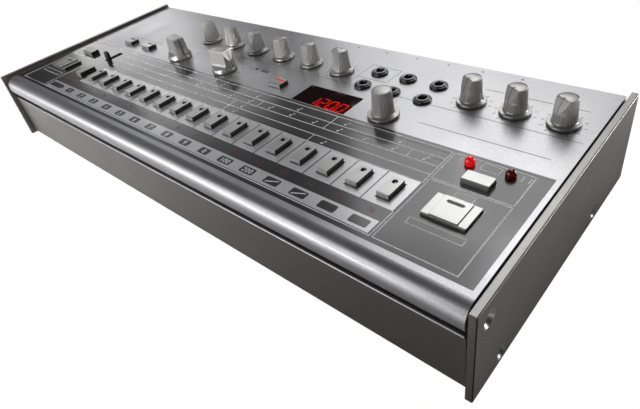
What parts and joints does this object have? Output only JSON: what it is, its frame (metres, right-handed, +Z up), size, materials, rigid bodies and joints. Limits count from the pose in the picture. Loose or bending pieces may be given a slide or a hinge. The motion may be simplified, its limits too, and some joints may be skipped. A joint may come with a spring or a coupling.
{
  "type": "drum machine",
  "caption": "Low desktop drum machine with a rolled-nose metal panel, a row of slim step keys, rotary controls, LED display, jacks and side plates.",
  "frame": {"origin": "middle of the footprint, on the table under the rubber feet", "axes": "+X along the width to the right, +Y from front to rear, +Z up"},
  "size_m": [0.308, 0.1303, 0.0521],
  "materials": {
    "panel_metal": "satin",
    "case_paint": "satin",
    "rear_paint": "matte",
    "plate_paint": "matte",
    "screw_steel": "satin",
    "rubber": "matte",
    "window": "gloss",
    "black_plastic": "matte",
    "bright_steel": "bright",
    "board": "satin",
    "pot_steel": "satin",
    "red_lens": "gloss",
    "cell": "gloss",
    "key_plastic": "satin",
    "knob_metal": "satin"
  },
  "bodies": {
    "housing": {"bottom_case": "case_paint", "top_panel": "panel_metal", "rear_panel": "rear_paint", "left_side_plate": "plate_paint", "right_side_plate": "plate_paint", "side_plate_screws": "screw_steel", "case_screws": "screw_steel", "rubber_feet": "rubber", "display_window": "window", "display_module": "black_plastic", "minijack_sockets": "black_plastic", "midi_sockets": "black_plastic", "usb_socket": "bright_steel", "control_board": "board", "main_board": "board", "control_pots": "pot_steel", "board_switches": "black_plastic", "panel_leds": "red_lens", "batteries": "cell", "battery_contacts": "bright_steel"},
    "step_key_1": {"step_key_1": "key_plastic"},
    "step_key_2": {"step_key_2": "key_plastic"},
    "step_key_3": {"step_key_3": "key_plastic"},
    "step_key_4": {"step_key_4": "key_plastic"},
    "step_key_5": {"step_key_5": "key_plastic"},
    "step_key_6": {"step_key_6": "key_plastic"},
    "step_key_7": {"step_key_7": "key_plastic"},
    "step_key_8": {"step_key_8": "key_plastic"},
    "step_key_9": {"step_key_9": "key_plastic"},
    "step_key_10": {"step_key_10": "key_plastic"},
    "step_key_11": {"step_key_11": "key_plastic"},
    "step_key_12": {"step_key_12": "key_plastic"},
    "step_key_13": {"step_key_13": "key_plastic"},
    "step_key_14": {"step_key_14": "key_plastic"},
    "step_key_15": {"step_key_15": "key_plastic"},
    "step_key_16": {"step_key_16": "key_plastic"},
    "function_key": {"function_key": "key_plastic"},
    "start_key": {"start_key": "key_plastic"},
    "clear_key": {"clear_key": "key_plastic"},
    "group_key": {"group_key": "key_plastic"},
    "tap_key": {"tap_key": "key_plastic"},
    "tempo_key": {"tempo_key": "key_plastic"},
    "track_key_1": {"track_key_1": "key_plastic"},
    "track_key_2": {"track_key_2": "key_plastic"},
    "level_knob_1": {"level_knob_1": "knob_metal"},
    "level_knob_2": {"level_knob_2": "knob_metal"},
    "level_knob_3": {"level_knob_3": "knob_metal"},
    "level_knob_4": {"level_knob_4": "knob_metal"},
    "level_knob_5": {"level_knob_5": "knob_metal"},
    "level_knob_6": {"level_knob_6": "knob_metal"},
    "effect_knob_1": {"effect_knob_1": "knob_metal"},
    "effect_knob_2": {"effect_knob_2": "knob_metal"},
    "effect_knob_3": {"effect_knob_3": "knob_metal"},
    "selector_knob_1": {"selector_knob_1": "knob_metal"},
    "selector_knob_2": {"selector_knob_2": "knob_metal"},
    "value_knob": {"value_knob": "knob_metal"},
    "volume_knob": {"volume_knob": "black_plastic"},
    "scale_lever": {"scale_lever": "black_plastic"},
    "power_slider": {"power_slider": "black_plastic"},
    "battery_door": {"battery_door": "case_paint"}
  },
  "joints": [
    {"name": "step_key_1_press", "type": "slide", "parent": "housing", "child": "step_key_1", "axis": [0, 0.0232, -0.9997], "range_m": [0, 0.0005], "stiffness_N_per_m": 600},
    {"name": "step_key_2_press", "type": "slide", "parent": "housing", "child": "step_key_2", "axis": [0, 0.0232, -0.9997], "range_m": [0, 0.0005], "stiffness_N_per_m": 600},
    {"name": "step_key_3_press", "type": "slide", "parent": "housing", "child": "step_key_3", "axis": [0, 0.0232, -0.9997], "range_m": [0, 0.0005], "stiffness_N_per_m": 600},
    {"name": "step_key_4_press", "type": "slide", "parent": "housing", "child": "step_key_4", "axis": [0, 0.0232, -0.9997], "range_m": [0, 0.0005], "stiffness_N_per_m": 600},
    {"name": "step_key_5_press", "type": "slide", "parent": "housing", "child": "step_key_5", "axis": [0, 0.0232, -0.9997], "range_m": [0, 0.0005], "stiffness_N_per_m": 600},
    {"name": "step_key_6_press", "type": "slide", "parent": "housing", "child": "step_key_6", "axis": [0, 0.0232, -0.9997], "range_m": [0, 0.0005], "stiffness_N_per_m": 600},
    {"name": "step_key_7_press", "type": "slide", "parent": "housing", "child": "step_key_7", "axis": [0, 0.0232, -0.9997], "range_m": [0, 0.0005], "stiffness_N_per_m": 600},
    {"name": "step_key_8_press", "type": "slide", "parent": "housing", "child": "step_key_8", "axis": [0, 0.0232, -0.9997], "range_m": [0, 0.0005], "stiffness_N_per_m": 600},
    {"name": "step_key_9_press", "type": "slide", "parent": "housing", "child": "step_key_9", "axis": [0, 0.0232, -0.9997], "range_m": [0, 0.0005], "stiffness_N_per_m": 600},
    {"name": "step_key_10_press", "type": "slide", "parent": "housing", "child": "step_key_10", "axis": [0, 0.0232, -0.9997], "range_m": [0, 0.0005], "stiffness_N_per_m": 600},
    {"name": "step_key_11_press", "type": "slide", "parent": "housing", "child": "step_key_11", "axis": [0, 0.0232, -0.9997], "range_m": [0, 0.0005], "stiffness_N_per_m": 600},
    {"name": "step_key_12_press", "type": "slide", "parent": "housing", "child": "step_key_12", "axis": [0, 0.0232, -0.9997], "range_m": [0, 0.0005], "stiffness_N_per_m": 600},
    {"name": "step_key_13_press", "type": "slide", "parent": "housing", "child": "step_key_13", "axis": [0, 0.0232, -0.9997], "range_m": [0, 0.0005], "stiffness_N_per_m": 600},
    {"name": "step_key_14_press", "type": "slide", "parent": "housing", "child": "step_key_14", "axis": [0, 0.0232, -0.9997], "range_m": [0, 0.0005], "stiffness_N_per_m": 600},
    {"name": "step_key_15_press", "type": "slide", "parent": "housing", "child": "step_key_15", "axis": [0, 0.0232, -0.9997], "range_m": [0, 0.0005], "stiffness_N_per_m": 600},
    {"name": "step_key_16_press", "type": "slide", "parent": "housing", "child": "step_key_16", "axis": [0, 0.0232, -0.9997], "range_m": [0, 0.0005], "stiffness_N_per_m": 600},
    {"name": "function_key_press", "type": "slide", "parent": "housing", "child": "function_key", "axis": [0, 0.0232, -0.9997], "range_m": [0, 0.0005], "stiffness_N_per_m": 600},
    {"name": "start_key_press", "type": "slide", "parent": "housing", "child": "start_key", "axis": [0, 0.0232, -0.9997], "range_m": [0, 0.0005], "stiffness_N_per_m": 600},
    {"name": "clear_key_press", "type": "slide", "parent": "housing", "child": "clear_key", "axis": [0, 0.0232, -0.9997], "range_m": [0, 0.0005], "stiffness_N_per_m": 600},
    {"name": "group_key_press", "type": "slide", "parent": "housing", "child": "group_key", "axis": [0, 0.0232, -0.9997], "range_m": [0, 0.0005], "stiffness_N_per_m": 600},
    {"name": "tap_key_press", "type": "slide", "parent": "housing", "child": "tap_key", "axis": [0, 0.0232, -0.9997], "range_m": [0, 0.0005], "stiffness_N_per_m": 600},
    {"name": "tempo_key_press", "type": "slide", "parent": "housing", "child": "tempo_key", "axis": [0, 0.0232, -0.9997], "range_m": [0, 0.0005], "stiffness_N_per_m": 600},
    {"name": "track_key_1_press", "type": "slide", "parent": "housing", "child": "track_key_1", "axis": [0, 0.0232, -0.9997], "range_m": [0, 0.0005], "stiffness_N_per_m": 600},
    {"name": "track_key_2_press", "type": "slide", "parent": "housing", "child": "track_key_2", "axis": [0, 0.0232, -0.9997], "range_m": [0, 0.0005], "stiffness_N_per_m": 600},
    {"name": "level_knob_1_turn", "type": "hinge", "parent": "housing", "child": "level_knob_1", "pos_m": [-0.0642, 0.02935, 0.04065], "axis": [0, -0.0232, 0.9997], "range_deg": [-150, 150]},
    {"name": "level_knob_2_turn", "type": "hinge", "parent": "housing", "child": "level_knob_2", "pos_m": [-0.0444, 0.02935, 0.04065], "axis": [0, -0.0232, 0.9997], "range_deg": [-150, 150]},
    {"name": "level_knob_3_turn", "type": "hinge", "parent": "housing", "child": "level_knob_3", "pos_m": [-0.0246, 0.02935, 0.04065], "axis": [0, -0.0232, 0.9997], "range_deg": [-150, 150]},
    {"name": "level_knob_4_turn", "type": "hinge", "parent": "housing", "child": "level_knob_4", "pos_m": [-0.0048, 0.02935, 0.04065], "axis": [0, -0.0232, 0.9997], "range_deg": [-150, 150]},
    {"name": "level_knob_5_turn", "type": "hinge", "parent": "housing", "child": "level_knob_5", "pos_m": [0.015, 0.02935, 0.04065], "axis": [0, -0.0232, 0.9997], "range_deg": [-150, 150]},
    {"name": "level_knob_6_turn", "type": "hinge", "parent": "housing", "child": "level_knob_6", "pos_m": [0.0348, 0.02935, 0.04065], "axis": [0, -0.0232, 0.9997], "range_deg": [-150, 150]},
    {"name": "effect_knob_1_turn", "type": "hinge", "parent": "housing", "child": "effect_knob_1", "pos_m": [0.102, 0.02935, 0.04065], "axis": [0, -0.0232, 0.9997], "range_deg": [-300, 0]},
    {"name": "effect_knob_2_turn", "type": "hinge", "parent": "housing", "child": "effect_knob_2", "pos_m": [0.1201, 0.02935, 0.04065], "axis": [0, -0.0232, 0.9997], "range_deg": [-300, 0]},
    {"name": "effect_knob_3_turn", "type": "hinge", "parent": "housing", "child": "effect_knob_3", "pos_m": [0.1382, 0.02935, 0.04065], "axis": [0, -0.0232, 0.9997], "range_deg": [-300, 0]},
    {"name": "selector_knob_1_turn", "type": "hinge", "parent": "housing", "child": "selector_knob_1", "pos_m": [-0.0642, 0.00485, 0.04008], "axis": [0, -0.0232, 0.9997], "range_deg": [-60, 90]},
    {"name": "selector_knob_2_turn", "type": "hinge", "parent": "housing", "child": "selector_knob_2", "pos_m": [-0.0246, 0.00485, 0.04008], "axis": [0, -0.0232, 0.9997], "range_deg": [-60, 90]},
    {"name": "value_knob_turn", "type": "hinge", "parent": "housing", "child": "value_knob", "pos_m": [0.0763, 0.00485, 0.04008], "axis": [0, -0.0232, 0.9997], "continuous": true},
    {"name": "volume_knob_turn", "type": "hinge", "parent": "housing", "child": "volume_knob", "pos_m": [0.0774, 0.06077, 0.01952], "axis": [0, 0.9903, 0.139], "range_deg": [-150, 150]},
    {"name": "scale_lever_slide", "type": "slide", "parent": "housing", "child": "scale_lever", "axis": [0, 0.9997, 0.0232], "range_m": [0, 0.0072]},
    {"name": "power_slider_slide", "type": "slide", "parent": "housing", "child": "power_slider", "axis": [1, 0, 0], "range_m": [0, 0.003]},
    {"name": "battery_door_slide", "type": "slide", "parent": "housing", "child": "battery_door", "axis": [0, -1, 0], "range_m": [0, 0.012]}
  ]
}
